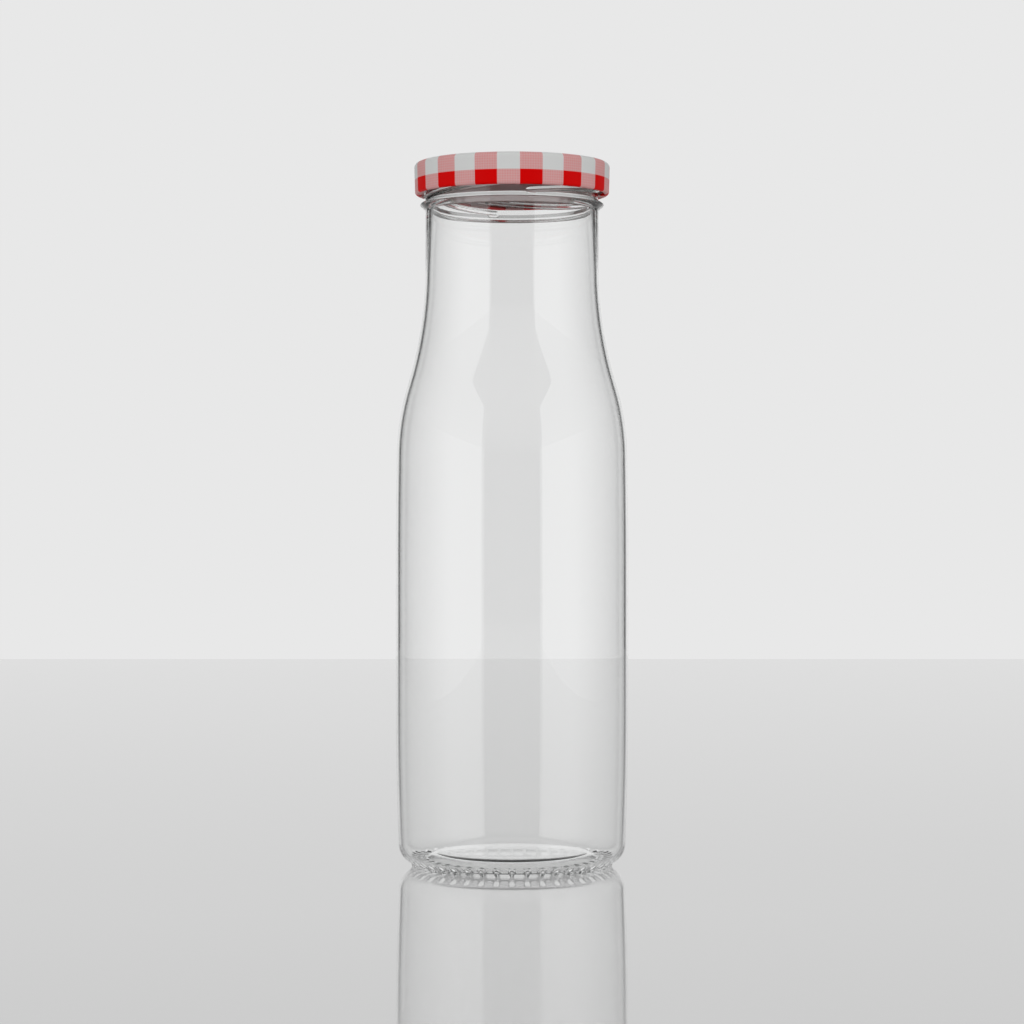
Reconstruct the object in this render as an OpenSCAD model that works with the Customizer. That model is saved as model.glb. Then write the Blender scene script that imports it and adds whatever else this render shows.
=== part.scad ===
// Wide-mouth glass bottle with a printed tinplate twist-off lid.
// Origin: centre of the base, on the plane the bottle stands on. +Z up, front -Y.
// Millimetres, lid closed.

/* [Glass body] */
// Largest outside diameter of the body
body_d = 67.3; // [65:0.1:70]
// Height of the glass from the standing plane to the lip
bottle_h = 202.2; // [198:0.1:220]
// Wall thickness of the body and the shoulder
wall = 1.1; // [1:0.05:1.4]
// Height where the side starts to lean into the shoulder
shoulder_z = 119.2; // [100:0.1:124]
// Radius of the round shoulder
shoulder_r = 73; // [60:1:80]
// Steepest lean of the shoulder from the vertical
shoulder_lean = 17; // [15:0.1:18]
// Outside diameter of the neck
neck_d = 50.1; // [48:0.1:51]

/* [Base] */
// Radius of the rounded heel
heel_r = 6; // [5.4:0.1:6.6]
// Thickness of the glass in the base
base_t = 1.3; // [1.1:0.1:1.6]
// Inside corner radius between wall and floor
corner_r = 4.8; // [3.8:0.1:5.4]
// Number of knurls round the bearing ring
knurl_count = 42; // [24:1:60]
// Height of the knurls below the bearing ring
knurl_h = 0.6; // [0.3:0.1:1]

/* [Finish] */
// Outside diameter of the plain wall behind the threads
finish_d = 49.9; // [49.4:0.1:50.4]
// Diameter of the mouth
mouth_d = 46.7; // [45.6:0.1:46.8]
// Outside diameter over the threads
thread_d = 52.4; // [51.6:0.1:52.6]
// Rise of a thread in one full turn
thread_lead = 13; // [12:0.1:14]
// Angle covered by each thread
thread_span = 104; // [94:1:106]
// Outside diameter over the transfer bead
bead_d = 53.2; // [52:0.1:53.6]
// Drop of the transfer bead's edge below the lip
bead_drop = 10.8; // [10.5:0.1:12]

/* [Lid] */
// Outside diameter of the lid
lid_d = 56.6; // [56.4:0.1:57.4]
// Height of the lid from the curl to the top
lid_h = 9.15; // [9:0.05:9.4]
// Thickness of the tinplate
sheet = 0.25; // [0.2:0.01:0.3]
// Angle covered by each lug
lug_span = 16; // [10:1:18]
// Thickness of the sealing ring
seal_t = 1; // [0.8:0.05:1.2]

/* [Hidden] */
$fn = 96;
starts = 4;
seam_angle = 60;
sheet_gap = 0.05;

// Body: a slightly barrelled side between two straight-standing belt heights.
body_r = body_d / 2;
neck_r = neck_d / 2;
foot_r = 950;
foot_lean = 2.4;
barrel_r = 2040;
barrel_lean = 0.96;
belt_low = knurl_h + heel_r * (1 - sin(foot_lean)) + foot_r * sin(foot_lean);
belt_high = shoulder_z - barrel_r * sin(barrel_lean);
foot_c = [body_r - foot_r, belt_low];
barrel_c = [body_r - barrel_r, belt_high];
shoulder_c = barrel_c + (barrel_r - shoulder_r) * ray(barrel_lean);
shoulder_end = shoulder_c + shoulder_r * ray(shoulder_lean);
sweep_r = (shoulder_end[0] - neck_r) / (1 - cos(shoulder_lean));
sweep_c = shoulder_end + sweep_r * ray(shoulder_lean);

// Base: heel outside, then a channel round a shallow push-up, much the same thickness throughout.
heel_c = foot_c + (foot_r - heel_r) * ray(-foot_lean);
floor_z = knurl_h + base_t;
inner_lean = asin((belt_low - floor_z - corner_r) / (foot_r - wall - corner_r));
corner_c = foot_c + (foot_r - wall - corner_r) * ray(-inner_lean);
ring_in_r = heel_c[0] - 1.4;
ring_edge_r = 2;
ring_edge_c = [ring_in_r, knurl_h + ring_edge_r];
push_lean = 45;
push_slope = 3;
flank = 1.3;
hollow_r = 2;
hollow_c = ring_edge_c + (ring_edge_r + hollow_r) * ray(-90 - push_lean) + flank * ray(180 - push_lean);
push_edge = hollow_c - hollow_r * ray(-90 - push_slope);
floor_edge = hollow_c - (hollow_r + base_t) * ray(-90 - push_slope);
knurl_w = 1.5;
knurl_foot_w = 0.8;
knurl_reach = 2.6;

// Finish.
finish_r = finish_d / 2;
mouth_r = mouth_d / 2;
thread_r = thread_d / 2;
bead_z = bottle_h - bead_drop;
bead_tip_r = 0.45;
bead_c = [bead_d / 2 - bead_tip_r, bead_z];
bead_slope = 42;
lip_out_r = 0.85;
lip_in_r = 0.7;
thread_root_h = 1.5;
thread_tip_h = 0.6;
thread_drop = 9.35;
thread_low_z = bottle_h - thread_drop;
thread_low_angle = -82;
thread_sink = 0.8;
thread_flare = (thread_root_h - thread_tip_h) / (thread_r - finish_r);
thread_foot_h = thread_root_h + thread_flare * thread_sink;
thread_mid_r = (finish_r + thread_r) / 2;
thread_tilt = atan(thread_lead / (360 / 180 * PI * thread_mid_r));

// Lid.
lid_r = lid_d / 2;
seal_top = bottle_h + sheet_gap + seal_t;
lid_top = seal_top + sheet_gap / 2 + sheet;
lid_low = lid_top - lid_h;
rim_r = 1.4;
rim_c = [lid_r - rim_r, lid_top - rim_r];
curl_r = 0.78;
curl_c = [lid_r - 0.2 - curl_r, lid_low + curl_r];
curl_end = -270;
step_r = 0.85;
step_lean = 45;
panel_r = 20.6;
step_low_c = [panel_r, lid_top - 2 * step_r * (1 - cos(step_lean)) + step_r];
step_high_c = step_low_c - 2 * step_r * ray(90 + step_lean);
lug_h = 0.75;
lug_in_r = 25.5;
lug_low = lid_low + 0.15;
lug_angle = thread_low_angle + 92;
seal_in_r = step_high_c[0] + 0.6;
seal_out_r = 26.5;
seal_foot_in_r = mouth_r - 0.2;
seal_foot_out_r = finish_r + 0.2;

// Unit vector at an angle in the radial section.
function ray(a) = [cos(a), sin(a)];

// Points of an arc about c; a negative radius puts the surface on the near side.
function arc(c, r, a0, a1, n) =
    [for (i = [0:n]) c + r * ray(a0 + (a1 - a0) * i / n)];

// Cap of a shallow dome from its edge point to a small flat at the axis.
function dome(edge, slope, n) =
    let (r = edge[0] / sin(slope), low = edge[1] - r * cos(slope))
    concat(
        [for (i = [0:n - 1])
            let (a = slope * (1 - i / n))
            [r * sin(a), low + r * cos(a)]],
        [[0, low + r * cos(slope / n)]]);

function reversed(path) = [for (i = [len(path) - 1:-1:0]) path[i]];

// Side of the bottle from foot to neck, moved inwards by t.
function side(t, low_lean) = concat(
    arc(foot_c, foot_r - t, -low_lean, 0, 5),
    arc(barrel_c, barrel_r - t, 0, barrel_lean, 3),
    arc(shoulder_c, shoulder_r - t, barrel_lean, shoulder_lean, 9),
    arc(sweep_c, -sweep_r - t, shoulder_lean, 0, 9));

function underside() = concat(
    reversed(dome(push_edge, push_slope, 6)),
    arc(hollow_c, -hollow_r, -90 - push_slope, -90 - push_lean, 5),
    arc(ring_edge_c, ring_edge_r, -90 - push_lean, -90, 5),
    arc(heel_c, heel_r, -90, -foot_lean, 12));

function finish_outside() = concat(
    [[neck_r, bead_z - bead_tip_r - (bead_c[0] - neck_r) * tan(bead_slope)]],
    arc(bead_c, bead_tip_r, -bead_slope - 10, bead_slope + 10, 5),
    [[finish_r, bead_z + bead_tip_r + (bead_c[0] - finish_r) * tan(bead_slope)]],
    arc([finish_r - lip_out_r, bottle_h - lip_out_r], lip_out_r, 0, 90, 6));

function cavity() = concat(
    arc([mouth_r + lip_in_r, bottle_h - lip_in_r], lip_in_r, 90, 180, 5),
    [[mouth_r, bead_z]],
    reversed(side(wall, inner_lean)),
    arc(corner_c, corner_r, -inner_lean, -90, 10),
    arc(ring_edge_c, ring_edge_r - base_t, -90, -90 - push_lean, 4),
    arc(hollow_c, -hollow_r - base_t, -90 - push_lean, -90 - push_slope, 6),
    dome(floor_edge, push_slope, 6));

module glass_wall() {
    rotate([0, 0, seam_angle])
        rotate_extrude()
            polygon(concat(underside(), side(0, foot_lean), finish_outside(), cavity()));
}

// One of the four interrupted threads, rising anticlockwise seen from above.
module thread() {
    rotate([thread_tilt, 0, 0])
        rotate([0, 0, -thread_span / 2])
            rotate_extrude(angle = thread_span)
                polygon([
                    [finish_r - thread_sink, -thread_foot_h / 2],
                    [thread_r, -thread_tip_h / 2],
                    [thread_r, thread_tip_h / 2],
                    [finish_r - thread_sink, thread_foot_h / 2]
                ]);
}

// Radial bar of the knurling, flat where it stands on the table.
module knurl() {
    intersection() {
        translate([heel_c[0] + knurl_reach, 0, 0])
            rotate([90, 0, -90])
                linear_extrude(knurl_reach + 1.2)
                    polygon([
                        [-knurl_foot_w / 2, 0],
                        [knurl_foot_w / 2, 0],
                        [knurl_w / 2, knurl_h * 3],
                        [-knurl_w / 2, knurl_h * 3]
                    ]);
        cylinder(r = heel_c[0] + knurl_reach - 0.1, h = knurl_h * 2.6);
    }
}

module glass_bottle() {
    color([0.86, 0.92, 0.9, 0.35]) {
        union() {
            glass_wall();
            for (i = [0:starts - 1])
                rotate([0, 0, thread_low_angle + thread_span / 2 + i * 360 / starts])
                    translate([0, 0, thread_low_z + thread_lead * thread_span / 720])
                        thread();
            for (i = [0:knurl_count - 1])
                rotate([0, 0, -90 + i * 360 / knurl_count])
                    knurl();
        }
    }
}

// Section of the sheet at depth t below its outer skin, from the axis to the curl.
function lid_skin(t) = concat(
    [[0, step_low_c[1] - step_r - t]],
    arc(step_low_c, -step_r - t, 90, 90 + step_lean, 4),
    arc(step_high_c, step_r - t, 90 + step_lean, 90, 4),
    arc(rim_c, rim_r - t, 90, 0, 8),
    arc(curl_c, curl_r - t, 0, curl_end, 24));

// Lug: a stretch of the curl pressed flat and turned in under a thread.
module lug() {
    rotate([thread_tilt, 0, 0])
        rotate([0, 0, -lug_span / 2])
            rotate_extrude(angle = lug_span)
                polygon([
                    [lug_in_r + 0.2, 0],
                    [curl_c[0] - curl_r + sheet * 0.6, 0],
                    [curl_c[0] - curl_r + sheet * 0.6, lug_h],
                    [lug_in_r + 0.2, lug_h],
                    [lug_in_r, lug_h - 0.2],
                    [lug_in_r, 0.2]
                ]);
}

module lid_shell() {
    color([0.78, 0.05, 0.05]) {
        union() {
            rotate_extrude()
                polygon(concat(lid_skin(0), reversed(lid_skin(sheet))));
            for (i = [0:starts - 1])
                rotate([0, 0, lug_angle + i * 360 / starts])
                    translate([0, 0, lug_low])
                        lug();
        }
    }
}

// Moulded compound ring in the lid's channel, bevelled off either side of the lip.
module sealing_ring() {
    color([0.86, 0.84, 0.78]) {
        rotate_extrude()
            polygon([
                [seal_in_r, seal_top],
                [seal_in_r, seal_top - seal_t * 0.5],
                [seal_foot_in_r, seal_top - seal_t],
                [seal_foot_out_r, seal_top - seal_t],
                [seal_out_r, seal_top - seal_t * 0.4],
                [seal_out_r, seal_top]
            ]);
    }
}

glass_bottle();
lid_shell();
sealing_ring();
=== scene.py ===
import math
import bmesh
import bpy
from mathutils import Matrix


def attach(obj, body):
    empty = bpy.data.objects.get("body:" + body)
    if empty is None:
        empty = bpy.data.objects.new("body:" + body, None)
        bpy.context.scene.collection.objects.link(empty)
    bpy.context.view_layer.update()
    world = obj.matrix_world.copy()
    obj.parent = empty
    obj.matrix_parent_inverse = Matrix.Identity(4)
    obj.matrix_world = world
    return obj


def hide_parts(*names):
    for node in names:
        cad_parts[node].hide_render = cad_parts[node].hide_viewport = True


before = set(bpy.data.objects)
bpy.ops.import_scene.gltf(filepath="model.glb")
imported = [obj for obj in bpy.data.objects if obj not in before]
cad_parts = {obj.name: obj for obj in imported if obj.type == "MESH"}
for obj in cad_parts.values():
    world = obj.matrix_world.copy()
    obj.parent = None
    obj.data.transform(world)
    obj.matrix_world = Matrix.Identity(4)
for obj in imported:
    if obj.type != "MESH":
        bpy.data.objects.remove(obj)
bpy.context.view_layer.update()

# ---------------------------------------------------------------------------
# Glass bottle: flint glass blown in one piece, fire-polished, standing on a
# knurled bearing ring with a push-up inside it. Four interrupted threads and
# a transfer bead are moulded round the wide mouth.
# ---------------------------------------------------------------------------
MM = 0.001


def ray(a):
    """Unit vector at an angle in degrees in the radial section."""
    return math.cos(math.radians(a)), math.sin(math.radians(a))


def bend(c, r, a0, a1, n):
    """Points of an arc about c; a negative radius bends the surface inwards."""
    turns = [ray(a0 + (a1 - a0) * i / n) for i in range(n + 1)]
    return [(c[0] + r * x, c[1] + r * y) for x, y in turns]


def shift(p, d, a):
    """The point a distance d from p in the direction a."""
    x, y = ray(a)
    return p[0] + d * x, p[1] + d * y


def straight(p, q, n):
    """Points strictly between p and q."""
    return [(p[0] + (q[0] - p[0]) * i / n, p[1] + (q[1] - p[1]) * i / n) for i in range(1, n)]


def lathe(name, path, turns, groups=None):
    """A closed mesh turned about Z from a section in mm that starts and ends on the axis."""
    bm = bmesh.new()
    rings = []
    for r, z in path[1:-1]:
        rings.append([bm.verts.new((r * MM * math.cos(a), r * MM * math.sin(a), z * MM)) for a in turns])
    ends = [bm.verts.new((0, 0, path[0][1] * MM)), bm.verts.new((0, 0, path[-1][1] * MM))]
    n = len(turns)
    for row, (lower, upper) in enumerate(zip(rings, rings[1:])):
        for i in range(n):
            j = (i + 1) % n
            face = bm.faces.new((lower[i], lower[j], upper[j], upper[i]))
            face.material_index = groups[row] if groups else 0
    for i in range(n):
        j = (i + 1) % n
        bm.faces.new((ends[0], rings[0][j], rings[0][i]))
        face = bm.faces.new((ends[1], rings[-1][i], rings[-1][j]))
        face.material_index = groups[-1] if groups else 0
    bmesh.ops.recalc_face_normals(bm, faces=bm.faces)
    mesh = bpy.data.meshes.new(name)
    bm.to_mesh(mesh)
    bm.free()
    for p in mesh.polygons:
        p.use_smooth = True
    ob = bpy.data.objects.new(name, mesh)
    bpy.context.collection.objects.link(ob)
    return ob


# Section through the glass, from the middle of the underside to the middle of the floor.
KNURL_H = 0.6
HEEL_R, FOOT_R, BARREL_R, SHOULDER_R = 6.0, 950.0, 2040.0, 73.0
FOOT_LEAN, BARREL_LEAN, SHOULDER_LEAN = 2.4, 0.96, 17.0
BODY_R, NECK_R, WALL = 33.65, 25.05, 1.1
GLASS_H, SHOULDER_Z = 202.2, 119.2
FINISH_R, MOUTH_R, BEAD_R, BEAD_Z = 24.95, 23.35, 26.6, 191.4
BEAD_EDGE_R, BEAD_LEAN, THREADS_TOP = 0.42, 48, 198.4
LIP_OUT_R, LIP_IN_R = 0.85, 0.7

belt_low = KNURL_H + HEEL_R * (1 - ray(FOOT_LEAN)[1]) + FOOT_R * ray(FOOT_LEAN)[1]
belt_high = SHOULDER_Z - BARREL_R * ray(BARREL_LEAN)[1]
foot_c = (BODY_R - FOOT_R, belt_low)
barrel_c = (BODY_R - BARREL_R, belt_high)
shoulder_c = shift(barrel_c, BARREL_R - SHOULDER_R, BARREL_LEAN)
shoulder_end = shift(shoulder_c, SHOULDER_R, SHOULDER_LEAN)
sweep_r = (shoulder_end[0] - NECK_R) / (1 - ray(SHOULDER_LEAN)[0])
sweep_c = shift(shoulder_end, sweep_r, SHOULDER_LEAN)
heel_c = shift(foot_c, FOOT_R - HEEL_R, -FOOT_LEAN)

BASE_T, RING_R, HOLLOW_R, FLANK = 1.3, 2.0, 2.0, 1.3
ring_c = (heel_c[0] - 1.4, KNURL_H + RING_R)
hollow_c = shift(shift(ring_c, RING_R + HOLLOW_R, -135), FLANK, 135)


def push_up(t):
    """The raised middle of the base at height t above its underside, from the axis outwards."""
    edge = shift(hollow_c, -HOLLOW_R - t, -93)
    r = edge[0] / ray(87)[0]
    path = bend((0, edge[1] - r * ray(87)[1]), r, 90, 87, 10)
    path += bend(hollow_c, -HOLLOW_R - t, -93, -135, 10)[1:]
    foot = shift(ring_c, RING_R - t, -135)
    path += straight(path[-1], foot, 3)
    return path + bend(ring_c, RING_R - t, -135, -90, 8)


section = push_up(0)
section += straight(section[-1], (heel_c[0], KNURL_H), 4)
section += bend(heel_c, HEEL_R, -90, -FOOT_LEAN, 22)
section += bend(foot_c, FOOT_R, -FOOT_LEAN, 0, 6)[1:]
section += straight((BODY_R, belt_low), (BODY_R, belt_high), 2)
section += bend(barrel_c, BARREL_R, 0, BARREL_LEAN, 5)
section += bend(shoulder_c, SHOULDER_R, BARREL_LEAN, SHOULDER_LEAN, 14)[1:]
section += bend(sweep_c, -sweep_r, SHOULDER_LEAN, 0, 14)[1:]
under_bead = (NECK_R, BEAD_Z - 1.75)
section += straight(section[-1], under_bead, 2)
section += bend(shift(under_bead, 0.55, 0), -0.55, 0, -BEAD_LEAN, 6)
section += bend((BEAD_R - BEAD_EDGE_R, BEAD_Z), BEAD_EDGE_R, -BEAD_LEAN, BEAD_LEAN, 10)
over_bead = (FINISH_R, BEAD_Z + 1.45)
section += bend(shift(over_bead, 0.6, 0), -0.6, BEAD_LEAN, 0, 6)
section += straight(over_bead, (FINISH_R, THREADS_TOP), 36)
section += straight((FINISH_R, THREADS_TOP), (FINISH_R, GLASS_H - LIP_OUT_R), 2)
section += bend((FINISH_R - LIP_OUT_R, GLASS_H - LIP_OUT_R), LIP_OUT_R, 0, 90, 8)
section += bend((MOUTH_R + LIP_IN_R, GLASS_H - LIP_IN_R), LIP_IN_R, 90, 180, 8)
section += straight(section[-1], (MOUTH_R, BEAD_Z), 2) + [(MOUTH_R, BEAD_Z)]
section += straight((MOUTH_R, BEAD_Z), (NECK_R - WALL, sweep_c[1]), 3)
section += bend(sweep_c, sweep_r + WALL, 180, 180 + SHOULDER_LEAN, 14)
section += bend(shoulder_c, WALL - SHOULDER_R, 180 + SHOULDER_LEAN, 180 + BARREL_LEAN, 14)[1:]
section += bend(barrel_c, WALL - BARREL_R, 180 + BARREL_LEAN, 180, 5)[1:]
section += straight(section[-1], (BODY_R - WALL, belt_low), 2)
CORNER_R = 4.8
floor_z = KNURL_H + BASE_T
rise = belt_low - floor_z - CORNER_R
inner_lean = math.degrees(math.asin(rise / (FOOT_R - WALL - CORNER_R)))
section += bend(foot_c, WALL - FOOT_R, 180, 180 - inner_lean, 5)
corner_c = shift(foot_c, FOOT_R - WALL - CORNER_R, -inner_lean)
section += bend(corner_c, CORNER_R, -inner_lean, -90, 16)[1:]
section += push_up(BASE_T)[::-1]

# Columns crowd round each knurl, so its flanks are crisp without a heavier mesh.
KNURLS = 42
PITCH = 360 / KNURLS
turns = [
    math.radians(-90 + PITCH * k + d)
    for k in range(KNURLS)
    for d in (-0.5 * PITCH, -2.6, -1.7, -0.8, 0, 0.8, 1.7, 2.6)
]
blank = lathe("bottle_blank", section, turns)


class Sums:
    """Short way of writing sums and tests in a node tree."""

    def __init__(self, tree):
        self.tree = tree

    def put(self, socket, value):
        if isinstance(value, bpy.types.NodeSocket):
            self.tree.links.new(value, socket)
        else:
            socket.default_value = value

    def do(self, operation, *values):
        node = self.tree.nodes.new("ShaderNodeMath")
        node.operation = operation
        for socket, value in zip(node.inputs, values):
            self.put(socket, value)
        return node.outputs[0]

    def ramp(self, value, low, high):
        """A smooth step from 0 at low to 1 at high."""
        node = self.tree.nodes.new("ShaderNodeMapRange")
        node.interpolation_type = "SMOOTHSTEP"
        self.put(node.inputs["Value"], value)
        self.put(node.inputs["From Min"], low)
        self.put(node.inputs["From Max"], high)
        return node.outputs["Result"]


def shaping_tree(name, sizes):
    """A geometry tree with a mesh in, a mesh out and one named input for each size."""
    tree = bpy.data.node_groups.new(name, "GeometryNodeTree")
    tree.interface.new_socket("Blank", in_out="INPUT", socket_type="NodeSocketGeometry")
    for label in sizes:
        tree.interface.new_socket(label, in_out="INPUT", socket_type="NodeSocketFloat")
    tree.interface.new_socket("Shaped", in_out="OUTPUT", socket_type="NodeSocketGeometry")
    return tree, tree.nodes.new("NodeGroupInput"), tree.nodes.new("NodeGroupOutput")


def close_tree(tree, geometry, out, material):
    realize = tree.nodes.new("GeometryNodeRealizeInstances")
    paint = tree.nodes.new("GeometryNodeSetMaterial")
    tree.links.new(geometry, realize.inputs["Geometry"])
    tree.links.new(realize.outputs["Geometry"], paint.inputs["Geometry"])
    paint.inputs["Material"].default_value = material
    tree.links.new(paint.outputs["Geometry"], out.inputs["Shaped"])
    return paint


def bake(ob, tree, sizes, name):
    """Runs the tree on ob with these sizes and returns the result as a plain mesh object."""
    mod = ob.modifiers.new(name, "NODES")
    mod.node_group = tree
    for item in tree.interface.items_tree:
        if item.item_type == "SOCKET" and item.in_out == "INPUT" and item.name in sizes:
            mod[item.identifier] = float(sizes[item.name])
    depsgraph = bpy.context.evaluated_depsgraph_get()
    mesh = bpy.data.meshes.new_from_object(ob.evaluated_get(depsgraph))
    ob.modifiers.remove(mod)
    made = bpy.data.objects.new(name, mesh)
    bpy.context.collection.objects.link(made)
    mesh.name = name
    bpy.data.objects.remove(ob)
    return made


# Flint glass: clear, with the faint green-grey of thick sections and a trace of mould waviness.
glass = bpy.data.materials.new("flint_glass")
glass.use_nodes = True
nodes, links = glass.node_tree.nodes, glass.node_tree.links
shader = nodes["Principled BSDF"]
shader.inputs["Base Color"].default_value = (1, 1, 1, 1)
shader.inputs["Transmission Weight"].default_value = 1
shader.inputs["IOR"].default_value = 1.5
place = nodes.new("ShaderNodeTexCoord")
waves = nodes.new("ShaderNodeTexNoise")
waves.inputs["Scale"].default_value = 38
waves.inputs["Detail"].default_value = 1
links.new(place.outputs["Object"], waves.inputs["Vector"])
ripple = nodes.new("ShaderNodeBump")
ripple.inputs["Strength"].default_value = 0.25
ripple.inputs["Distance"].default_value = 0.00002
links.new(waves.outputs["Fac"], ripple.inputs["Height"])
links.new(ripple.outputs["Normal"], shader.inputs["Normal"])
polish = nodes.new("ShaderNodeMapRange")
polish.inputs["To Min"].default_value = 0.0
polish.inputs["To Max"].default_value = 0.012
links.new(waves.outputs["Fac"], polish.inputs["Value"])
links.new(polish.outputs["Result"], shader.inputs["Roughness"])
depth = nodes.new("ShaderNodeVolumeAbsorption")
depth.inputs["Color"].default_value = (0.62, 0.80, 0.74, 1)
depth.inputs["Density"].default_value = 9
links.new(depth.outputs["Volume"], nodes["Material Output"].inputs["Volume"])

# Threads and knurls pressed into the blank by rule.
bottle_sizes = {
    "Finish Radius": FINISH_R * MM,
    "Thread Depth": 1.25 * MM,
    "Thread Low": 192.85 * MM,
    "Thread Lead": 13 * MM,
    "Thread Span": 104,
    "Thread Start": 8,
    "Thread Half Height": 0.85 * MM,
    "Knurls": KNURLS,
    "Ring Inside": (heel_c[0] - 1.3) * MM,
    "Ring Outside": (heel_c[0] + 2.6) * MM,
}
tree, given, out = shaping_tree("bottle_shaping", bottle_sizes)
size = given.outputs
s = Sums(tree)
where = tree.nodes.new("GeometryNodeInputPosition")
split = tree.nodes.new("ShaderNodeSeparateXYZ")
tree.links.new(where.outputs[0], split.inputs[0])
x, y, z = split.outputs
radius = s.do("SQRT", s.do("ADD", s.do("MULTIPLY", x, x), s.do("MULTIPLY", y, y)))
round_front = s.do("DEGREES", s.do("ARCTAN2", x, s.do("MULTIPLY", y, -1.0)))

along = s.do("FLOORED_MODULO", s.do("SUBTRACT", round_front, size["Thread Start"]), 90.0)
ridge = 0.0
for later in (0.0, 90.0):
    a = s.do("ADD", along, later)
    climb = s.do("MULTIPLY", size["Thread Lead"], s.do("DIVIDE", a, 360.0))
    centre = s.do("ADD", size["Thread Low"], climb)
    off = s.do("ABSOLUTE", s.do("SUBTRACT", z, centre))
    flank = s.ramp(off, size["Thread Half Height"], s.do("MULTIPLY", size["Thread Half Height"], 0.3))
    run_out = s.ramp(a, size["Thread Span"], s.do("SUBTRACT", size["Thread Span"], 7.0))
    tip = s.do("MULTIPLY", s.ramp(a, 0.0, 7.0), run_out)
    ridge = s.do("MAXIMUM", ridge, s.do("MULTIPLY", flank, tip))
thread_r = s.do("ADD", size["Finish Radius"], s.do("MULTIPLY", size["Thread Depth"], ridge))
outside = s.do("GREATER_THAN", radius, s.do("SUBTRACT", size["Finish Radius"], 0.1 * MM))
on_finish = s.do("MULTIPLY", outside, s.do("GREATER_THAN", z, 190.5 * MM))
raised = s.do("MAXIMUM", 0.0, s.do("SUBTRACT", thread_r, radius))
new_radius = s.do("ADD", radius, s.do("MULTIPLY", on_finish, raised))
grow = s.do("DIVIDE", new_radius, s.do("MAXIMUM", radius, 1e-6))

pitch = s.do("DIVIDE", 360.0, size["Knurls"])
half_pitch = s.do("MULTIPLY", pitch, 0.5)
in_pitch = s.do("FLOORED_MODULO", s.do("ADD", round_front, half_pitch), pitch)
from_knurl = s.do("ABSOLUTE", s.do("SUBTRACT", in_pitch, half_pitch))
bar = s.ramp(from_knurl, 1.7, 0.8)
inside_edge = s.ramp(radius, size["Ring Inside"], s.do("ADD", size["Ring Inside"], 0.5 * MM))
outside_edge = s.ramp(radius, size["Ring Outside"], s.do("SUBTRACT", size["Ring Outside"], 0.6 * MM))
underneath = s.do("LESS_THAN", z, 2.5 * MM)
press = s.do("MULTIPLY", s.do("MULTIPLY", bar, underneath), s.do("MULTIPLY", inside_edge, outside_edge))
new_z = s.do("MULTIPLY", z, s.do("SUBTRACT", 1.0, press))

join = tree.nodes.new("ShaderNodeCombineXYZ")
tree.links.new(s.do("MULTIPLY", x, grow), join.inputs[0])
tree.links.new(s.do("MULTIPLY", y, grow), join.inputs[1])
tree.links.new(new_z, join.inputs[2])
move = tree.nodes.new("GeometryNodeSetPosition")
tree.links.new(given.outputs["Blank"], move.inputs["Geometry"])
tree.links.new(join.outputs[0], move.inputs["Position"])
close_tree(tree, move.outputs["Geometry"], out, glass)
bottle = bake(blank, tree, bottle_sizes, "glass_bottle_blown")
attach(bottle, "bottle")
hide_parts("glass_bottle")

# ---------------------------------------------------------------------------
# Lid shell: one pressing of tinplate, printed flat in red and white gingham,
# drawn to a shallow cap, its edge curled under and the curl pressed in at
# four places to make the lugs.
# ---------------------------------------------------------------------------
LID_R, LID_TOP, LID_LOW, SHEET = 28.3, 203.525, 194.375, 0.25
RIM_R, CURL_R, STEP_R, STEP_LEAN, PANEL_R = 1.4, 0.78, 0.85, 45.0, 20.6
rim_c = (LID_R - RIM_R, LID_TOP - RIM_R)
curl_c = (LID_R - 0.2 - CURL_R, LID_LOW + CURL_R)
step_low_c = (PANEL_R, LID_TOP - 2 * STEP_R * (1 - ray(STEP_LEAN)[0]) + STEP_R)
step_high_c = shift(step_low_c, -2 * STEP_R, 90 + STEP_LEAN)


def lid_skin(t):
    """The sheet's section at depth t below its printed face, from the axis to the curl's edge."""
    path = [(0, step_low_c[1] - STEP_R - t), (0.4 * PANEL_R, step_low_c[1] - STEP_R - t)]
    path += bend(step_low_c, -STEP_R - t, 90, 90 + STEP_LEAN, 6)
    path += bend(step_high_c, STEP_R - t, 90 + STEP_LEAN, 90, 6)[1:]
    path += straight(path[-1], (rim_c[0], LID_TOP - t), 4)
    path += bend(rim_c, RIM_R - t, 90, 0, 12)
    path += straight(path[-1], (curl_c[0] + CURL_R - t, curl_c[1]), 12)
    path += bend(curl_c, CURL_R - t, 0, -270, 32)
    return path


skin = lid_skin(0)
lining = lid_skin(SHEET)[::-1]
sides = [0] * (len(skin) - 2) + [1] * (len(lining) - 1)
CHECKS = 28
lid_turns = [math.radians(360 * i / (CHECKS * 14)) for i in range(CHECKS * 14)]
lid_blank = lathe("lid_blank", skin + lining, lid_turns, sides)

# Gingham: red over red, red over white and white over white, with the fine weave of the cloth.
gingham = bpy.data.materials.new("gingham_print")
gingham.use_nodes = True
nodes, links = gingham.node_tree.nodes, gingham.node_tree.links
shader = nodes["Principled BSDF"]
place = nodes.new("ShaderNodeTexCoord")
split = nodes.new("ShaderNodeSeparateXYZ")
links.new(place.outputs["Object"], split.inputs[0])
x, y, z = split.outputs
s = Sums(gingham.node_tree)
CHECK = 6.35 * MM
turn = s.do("DEGREES", s.do("ARCTAN2", x, s.do("MULTIPLY", y, -1.0)))
drawn = s.do("SUBTRACT", turn, s.do("MULTIPLY", s.do("SINE", s.do("RADIANS", turn)), 1.5))
column = s.do("DIVIDE", s.do("SUBTRACT", drawn, 4.4), 360 / CHECKS)
row = s.do("DIVIDE", s.do("SUBTRACT", z, 198.5 * MM), CHECK)
across = s.do("DIVIDE", x, CHECK)
over = s.do("DIVIDE", y, CHECK)
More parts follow.
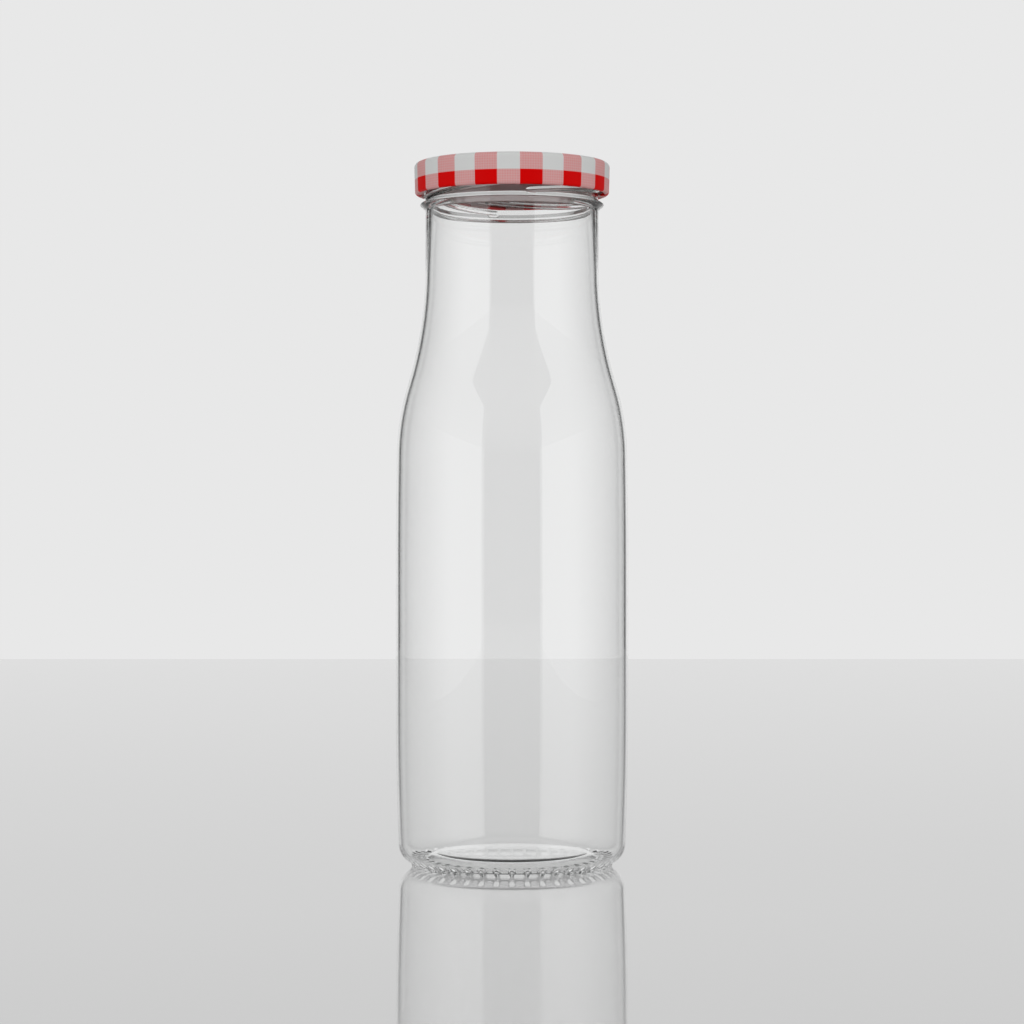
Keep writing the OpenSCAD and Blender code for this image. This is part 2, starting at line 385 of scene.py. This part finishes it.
radius = s.do("SQRT", s.do("ADD", s.do("MULTIPLY", x, x), s.do("MULTIPLY", y, y)))
on_top = s.do("GREATER_THAN", z, (LID_TOP - 1.0) * MM)
flat = s.do("MULTIPLY", on_top, s.do("LESS_THAN", radius, rim_c[0] * MM))


def stripe(value, offset):
    """1 on every other check, with an edge as soft as printing ink."""
    part = s.do("FLOORED_MODULO", s.do("ADD", value, offset), 2.0)
    rise = s.ramp(part, 0.0, 0.012)
    fall = s.ramp(part, 1.0, 1.012)
    return s.do("SUBTRACT", rise, fall)


def choose(which, a, b):
    """a where which is 1, b where it is 0."""
    return s.do("ADD", s.do("MULTIPLY", which, a), s.do("MULTIPLY", s.do("SUBTRACT", 1.0, which), b))


warp = choose(flat, stripe(across, 0.5), stripe(column, 0.0))
weft = choose(flat, stripe(over, 0.5), stripe(row, 1.0))
ink = s.do("MULTIPLY", s.do("ADD", warp, weft), 0.5)
THREADS = 9
weave = 0.0
for along in (choose(flat, across, column), choose(flat, over, row)):
    thread = s.do("SINE", s.do("MULTIPLY", along, 2 * math.pi * THREADS))
    weave = s.do("ADD", weave, s.do("MULTIPLY", thread, 0.045))
half = s.do("SUBTRACT", 1.0, s.do("ABSOLUTE", s.do("SUBTRACT", s.do("MULTIPLY", ink, 2.0), 1.0)))
grain = nodes.new("ShaderNodeTexNoise")
grain.inputs["Scale"].default_value = 900
grain.inputs["Detail"].default_value = 2
links.new(place.outputs["Object"], grain.inputs["Vector"])
speck = s.do("MULTIPLY", s.do("SUBTRACT", grain.outputs["Fac"], 0.5), 0.03)
amount = s.do("ADD", ink, s.do("MULTIPLY", half, s.do("ADD", weave, speck)))
colour = nodes.new("ShaderNodeMix")
colour.data_type = "RGBA"
links.new(amount, colour.inputs["Factor"])
colour.inputs["A"].default_value = (0.80, 0.81, 0.80, 1)
colour.inputs["B"].default_value = (0.80, 0.001, 0.001, 1)
links.new(colour.outputs["Result"], shader.inputs["Base Color"])
sheen = s.do("ADD", 0.42, s.do("MULTIPLY", speck, 2.0))
links.new(sheen, shader.inputs["Roughness"])
shader.inputs["Specular IOR Level"].default_value = 0.05

# Inside: a thin red-brown lacquer over the tin.
lacquer = bpy.data.materials.new("inside_lacquer")
lacquer.use_nodes = True
nodes, links = lacquer.node_tree.nodes, lacquer.node_tree.links
shader = nodes["Principled BSDF"]
place = nodes.new("ShaderNodeTexCoord")
cloud = nodes.new("ShaderNodeTexNoise")
cloud.inputs["Scale"].default_value = 120
links.new(place.outputs["Object"], cloud.inputs["Vector"])
tone = nodes.new("ShaderNodeMix")
tone.data_type = "RGBA"
tone.inputs["A"].default_value = (0.66, 0.36, 0.36, 1)
tone.inputs["B"].default_value = (0.72, 0.41, 0.40, 1)
links.new(cloud.outputs["Fac"], tone.inputs["Factor"])
links.new(tone.outputs["Result"], shader.inputs["Base Color"])
shader.inputs["Roughness"].default_value = 0.12
shader.inputs["IOR"].default_value = 4.5

# The four lugs are squeezed out of the curl by rule.
lid_sizes = {
    "Curl Radius": curl_c[0] * MM,
    "Curl Height": curl_c[1] * MM,
    "Lug Reach": 1.8 / 0.78,
    "Lug Squeeze": 0.375 / 0.78,
    "Lug Drop": (curl_c[1] - LID_LOW - 0.15 - 0.375) * MM,
    "Lug Place": 100,
    "Lug Half Span": 8,
    "Thread Lead": 13 * MM,
}
tree, given, out = shaping_tree("lid_shaping", lid_sizes)
size = given.outputs
s = Sums(tree)
where = tree.nodes.new("GeometryNodeInputPosition")
split = tree.nodes.new("ShaderNodeSeparateXYZ")
tree.links.new(where.outputs[0], split.inputs[0])
x, y, z = split.outputs
radius = s.do("SQRT", s.do("ADD", s.do("MULTIPLY", x, x), s.do("MULTIPLY", y, y)))
turn = s.do("DEGREES", s.do("ARCTAN2", x, s.do("MULTIPLY", y, -1.0)))
past_lug = s.do("ADD", s.do("SUBTRACT", turn, size["Lug Place"]), 45.0)
from_lug = s.do("SUBTRACT", s.do("FLOORED_MODULO", past_lug, 90.0), 45.0)
lug_end = s.do("ADD", size["Lug Half Span"], 0.6)
lug_full = s.do("SUBTRACT", size["Lug Half Span"], 1.6)
lug = s.ramp(s.do("ABSOLUTE", from_lug), lug_end, lug_full)
in_curl = s.do("SUBTRACT", radius, size["Curl Radius"])
low_down = s.do("LESS_THAN", z, s.do("ADD", size["Curl Height"], 1.0 * MM))
on_curl = s.do("MULTIPLY", s.do("LESS_THAN", in_curl, 0.0), low_down)
lug = s.do("MULTIPLY", lug, on_curl)
reach = s.do("MULTIPLY", in_curl, s.do("SUBTRACT", size["Lug Reach"], 1.0))
new_radius = s.do("ADD", radius, s.do("MULTIPLY", lug, reach))
up = s.do("SUBTRACT", z, size["Curl Height"])
tilt = s.do("MULTIPLY", size["Thread Lead"], s.do("DIVIDE", from_lug, 360.0))
far_in = s.ramp(in_curl, 0.0, -0.4 * MM)
squeezed = s.do("MULTIPLY", up, s.do("SUBTRACT", size["Lug Squeeze"], 1.0))
lowered = s.do("MULTIPLY", far_in, s.do("SUBTRACT", tilt, size["Lug Drop"]))
pressed = s.do("MULTIPLY", s.do("ADD", squeezed, lowered), s.ramp(in_curl, 0.0, -0.3 * MM))
new_z = s.do("ADD", z, s.do("MULTIPLY", lug, pressed))
grow = s.do("DIVIDE", new_radius, s.do("MAXIMUM", radius, 1e-6))
join = tree.nodes.new("ShaderNodeCombineXYZ")
tree.links.new(s.do("MULTIPLY", x, grow), join.inputs[0])
tree.links.new(s.do("MULTIPLY", y, grow), join.inputs[1])
tree.links.new(new_z, join.inputs[2])
move = tree.nodes.new("GeometryNodeSetPosition")
tree.links.new(given.outputs["Blank"], move.inputs["Geometry"])
tree.links.new(join.outputs[0], move.inputs["Position"])
lined = tree.nodes.new("GeometryNodeInputNamedAttribute")
lined.inputs["Name"].default_value = "inside"
paint = close_tree(tree, move.outputs["Geometry"], out, gingham)
inner = tree.nodes.new("GeometryNodeSetMaterial")
inner.inputs["Material"].default_value = lacquer
tree.links.new(paint.outputs["Geometry"], inner.inputs["Geometry"])
tree.links.new(s.do("GREATER_THAN", lined.outputs[0], 0.5), inner.inputs["Selection"])
tree.links.new(inner.outputs["Geometry"], out.inputs["Shaped"])
marks = lid_blank.data.attributes.new("inside", "FLOAT", "FACE")
marks.data.foreach_set("value", [float(p.material_index) for p in lid_blank.data.polygons])
lid = bake(lid_blank, tree, lid_sizes, "lid_shell_pressed")
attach(lid, "lid")
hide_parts("lid_shell")

# ---------------------------------------------------------------------------
# Sealing ring: compound flowed into the lid's channel and cured there, with a
# shallow groove where it sits on the lip.
# ---------------------------------------------------------------------------
SEAL_TOP, SEAL_T = 203.25, 1.0
SEAL_IN, SEAL_OUT = step_high_c[0] + 0.6, 26.5
lip_mid = (MOUTH_R + FINISH_R) / 2
ring = []
for i in range(25):
    f = i / 24
    r = SEAL_IN + (SEAL_OUT - SEAL_IN) * f
    shoulder = min(f, 1 - f)
    swell = SEAL_T * min(1.0, 0.35 + 0.65 * math.sin(min(1.0, shoulder / 0.16) * math.pi / 2))
    groove = 0.06 * math.exp(-((r - lip_mid) / 0.9) ** 2)
    ring.append((r, SEAL_TOP - swell + groove))
ring += straight(ring[-1], (SEAL_OUT, SEAL_TOP), 2) + [(SEAL_OUT, SEAL_TOP)]
ring += straight((SEAL_OUT, SEAL_TOP), (SEAL_IN, SEAL_TOP), 6) + [(SEAL_IN, SEAL_TOP)]
bm = bmesh.new()
COLUMNS = 240
loops = []
for r, z in ring:
    places = [ray(360 * i / COLUMNS) for i in range(COLUMNS)]
    loops.append([bm.verts.new((r * MM * x, r * MM * y, z * MM)) for x, y in places])
for lower, upper in zip(loops, loops[1:] + loops[:1]):
    for i in range(COLUMNS):
        j = (i + 1) % COLUMNS
        bm.faces.new((lower[i], lower[j], upper[j], upper[i]))
bmesh.ops.recalc_face_normals(bm, faces=bm.faces)
mesh = bpy.data.meshes.new("sealing_ring_moulded")
bm.to_mesh(mesh)
bm.free()
for p in mesh.polygons:
    p.use_smooth = True
seal = bpy.data.objects.new("sealing_ring_moulded", mesh)
bpy.context.collection.objects.link(seal)
compound = bpy.data.materials.new("sealing_compound")
compound.use_nodes = True
nodes, links = compound.node_tree.nodes, compound.node_tree.links
shader = nodes["Principled BSDF"]
place = nodes.new("ShaderNodeTexCoord")
cloud = nodes.new("ShaderNodeTexNoise")
cloud.inputs["Scale"].default_value = 200
links.new(place.outputs["Object"], cloud.inputs["Vector"])
tone = nodes.new("ShaderNodeMix")
tone.data_type = "RGBA"
tone.inputs["A"].default_value = (0.70, 0.67, 0.58, 1)
tone.inputs["B"].default_value = (0.76, 0.74, 0.66, 1)
links.new(cloud.outputs["Fac"], tone.inputs["Factor"])
links.new(tone.outputs["Result"], shader.inputs["Base Color"])
shader.inputs["Roughness"].default_value = 0.5
mesh.materials.append(compound)
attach(seal, "seal")
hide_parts("sealing_ring")

# ---------------------------------------------------------------------------
# Studio: a polished pale table running back to a lit pale wall, a tall soft
# panel down each side, a soft ceiling and a wide soft box above the camera.
# The gaps at the wall's ends draw the dark line along the edge of the glass.
# ---------------------------------------------------------------------------
WALL_Y, ROOM_X, ROOM_H = 1.32, 0.8, 1.3
CEILING_Y = (-1.4, 1.3)
PANEL_Y, PANEL_H = (-1.41, 1.16), 0.82


def panel(name, corners, material):
    mesh = bpy.data.meshes.new(name)
    mesh.from_pydata(corners, [], [(0, 1, 2, 3)])
    ob = bpy.data.objects.new(name, mesh)
    bpy.context.collection.objects.link(ob)
    mesh.materials.append(material)
    return ob


def glow(name, strength):
    """A lit cloth; returns the material, its shader and its sums."""
    mat = bpy.data.materials.new(name)
    mat.use_nodes = True
    tree = mat.node_tree
    tree.nodes.remove(tree.nodes["Principled BSDF"])
    lamp = tree.nodes.new("ShaderNodeEmission")
    lamp.inputs["Strength"].default_value = strength
    tree.links.new(lamp.outputs[0], tree.nodes["Material Output"].inputs["Surface"])
    return mat, lamp, Sums(tree)


table = bpy.data.materials.new("polished_table")
table.use_nodes = True
nodes, links = table.node_tree.nodes, table.node_tree.links
shader = nodes["Principled BSDF"]
place = nodes.new("ShaderNodeTexCoord")
cloud = nodes.new("ShaderNodeTexNoise")
cloud.inputs["Scale"].default_value = 3
links.new(place.outputs["Object"], cloud.inputs["Vector"])
tone = nodes.new("ShaderNodeMix")
tone.data_type = "RGBA"
tone.inputs["A"].default_value = (0.455, 0.455, 0.455, 1)
tone.inputs["B"].default_value = (0.475, 0.475, 0.475, 1)
links.new(cloud.outputs["Fac"], tone.inputs["Factor"])
links.new(tone.outputs["Result"], shader.inputs["Emission Color"])
shader.inputs["Emission Strength"].default_value = 1
shader.inputs["Base Color"].default_value = (0.03, 0.03, 0.03, 1)
shader.inputs["Specular IOR Level"].default_value = 0
shader.inputs["Coat Weight"].default_value = 1
shader.inputs["Coat Roughness"].default_value = 0.045
shader.inputs["Coat IOR"].default_value = 1.5
panel("table", [(-2, -2, 0), (2, -2, 0), (2, WALL_Y, 0), (-2, WALL_Y, 0)], table)

wall, lamp, s = glow("lit_wall", 1.0)
place = wall.node_tree.nodes.new("ShaderNodeTexCoord")
split = wall.node_tree.nodes.new("ShaderNodeSeparateXYZ")
wall.node_tree.links.new(place.outputs["Object"], split.inputs[0])
fade = s.ramp(s.do("ABSOLUTE", split.outputs[0]), 0.70, 0.48)
wall.node_tree.links.new(s.do("ADD", 0.03, s.do("MULTIPLY", fade, 0.777)), lamp.inputs["Strength"])
foot = [(-ROOM_X, WALL_Y, 0), (ROOM_X, WALL_Y, 0)]
panel("wall", foot + [(ROOM_X, WALL_Y, ROOM_H), (-ROOM_X, WALL_Y, ROOM_H)], wall)

cloth, lamp, s = glow("soft_panel", 1.0)
place = cloth.node_tree.nodes.new("ShaderNodeTexCoord")
split = cloth.node_tree.nodes.new("ShaderNodeSeparateXYZ")
cloth.node_tree.links.new(place.outputs["Object"], split.inputs[0])
fade = s.ramp(split.outputs[1], 0.42, -0.45)
level = s.do("ADD", 0.33, s.do("MULTIPLY", fade, 0.64))
cloth.node_tree.links.new(level, lamp.inputs["Strength"])
for name, edge in (("panel_left", -ROOM_X), ("panel_right", ROOM_X)):
    foot = [(edge, PANEL_Y[0], 0), (edge, PANEL_Y[1], 0)]
    panel(name, foot + [(edge, PANEL_Y[1], PANEL_H), (edge, PANEL_Y[0], PANEL_H)], cloth)

ceiling, lamp, s = glow("soft_ceiling", 0.5)
left = [(-ROOM_X, CEILING_Y[0], ROOM_H), (-ROOM_X, CEILING_Y[1], ROOM_H)]
panel("ceiling", left + [(ROOM_X, CEILING_Y[1], ROOM_H), (ROOM_X, CEILING_Y[0], ROOM_H)], ceiling)

box = bpy.data.lights.new("soft_box", "AREA")
box.shape = "RECTANGLE"
box.size, box.size_y = 2.6, 0.6
box.energy = 9.8
box_ob = bpy.data.objects.new("soft_box", box)
box_ob.location = (0, -1.3, 0.75)
box_ob.rotation_euler = (math.radians(67), 0, 0)
box_ob.visible_glossy = False
box_ob.visible_transmission = False
bpy.context.collection.objects.link(box_ob)

world = bpy.data.worlds.new("studio")
world.use_nodes = True
world.node_tree.nodes["Background"].inputs["Color"].default_value = (0.05, 0.05, 0.05, 1)
bpy.context.scene.world = world

camera = bpy.data.cameras.new("camera")
camera.lens = 100
camera.sensor_width = 36
camera.shift_y = 0.0176
camera_ob = bpy.data.objects.new("camera", camera)
camera_ob.location = (0, -0.825, 0.0973)
camera_ob.rotation_euler = (math.radians(90), 0, 0)
bpy.context.collection.objects.link(camera_ob)
bpy.context.scene.camera = camera_ob
bpy.context.scene.view_settings.view_transform = "Standard"
bpy.context.scene.cycles.max_bounces = 24
bpy.context.scene.cycles.transmission_bounces = 24
bpy.context.scene.cycles.glossy_bounces = 8
